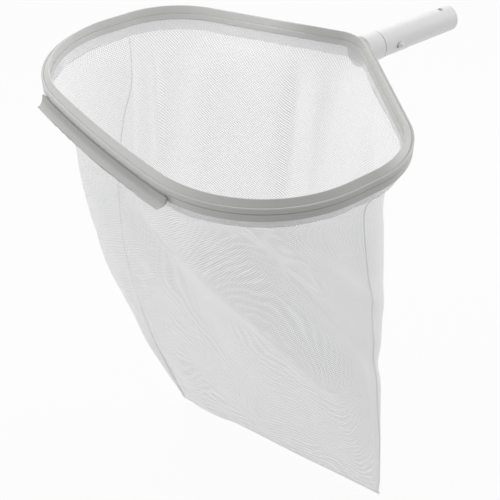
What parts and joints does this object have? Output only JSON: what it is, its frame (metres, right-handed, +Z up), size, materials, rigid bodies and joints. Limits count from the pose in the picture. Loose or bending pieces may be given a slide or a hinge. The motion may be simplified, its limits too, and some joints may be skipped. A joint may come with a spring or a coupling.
{
  "type": "leaf skimmer net",
  "caption": "Deep mesh leaf bag clamped in a snap-together moulded ring, with a scoop lip in front and a hollow spigot whose sprung buttons catch a telescopic pole.",
  "frame": {"origin": "on the spigot's axis, where its cylindrical pilot wall ends and the lead-in bevel of the open end starts", "axes": "+X runs out of the ring along the spigot, the way the pole leaves; +Z points up out of the mouth of the bag, square to the spigot; +Y completes a right-handed frame, and the catches lie on +Y and -Y"},
  "size_m": [0.4545, 0.4009, 0.5968],
  "materials": {
    "frame_plastic": "moulded polypropylene, fine satin grain",
    "lip_plastic": "softer moulded polyethylene, satin",
    "spigot_plastic": "moulded white plastic, satin",
    "button_plastic": "moulded white plastic, smooth",
    "steel": "bright stainless steel",
    "hem_fabric": "mesh folded double and sewn",
    "mesh_fabric": "fine open polyester mesh, translucent",
    "seam_fabric": "overlocked mesh edges"
  },
  "bodies": {
    "net": {"outer_frame": "frame_plastic", "retainer_ring": "frame_plastic", "scoop_lip": "lip_plastic", "handle_spigot": "spigot_plastic", "socket_screw": "steel", "clip_bend": "steel", "hem_band": "hem_fabric", "bag_front_panel": "mesh_fabric", "bag_rear_panel": "mesh_fabric", "side_seam_left": "seam_fabric", "side_seam_right": "seam_fabric", "bottom_seam": "seam_fabric"},
    "left_catch": {"clip_leg_left": "steel", "button_left": "button_plastic"},
    "right_catch": {"clip_leg_right": "steel", "button_right": "button_plastic"}
  },
  "joints": [
    {"name": "left_catch_press", "type": "hinge", "parent": "net", "child": "left_catch", "pos_m": [-0.046, 0, 0], "axis": [0, 0, 1], "range_deg": [0, 5.7], "stiffness_Nm_per_rad": 2, "springref_deg": -1.72},
    {"name": "right_catch_press", "type": "hinge", "parent": "net", "child": "right_catch", "pos_m": [-0.046, 0, 0], "axis": [0, 0, -1], "range_deg": [0, 5.7], "stiffness_Nm_per_rad": 2, "springref_deg": -1.72}
  ]
}
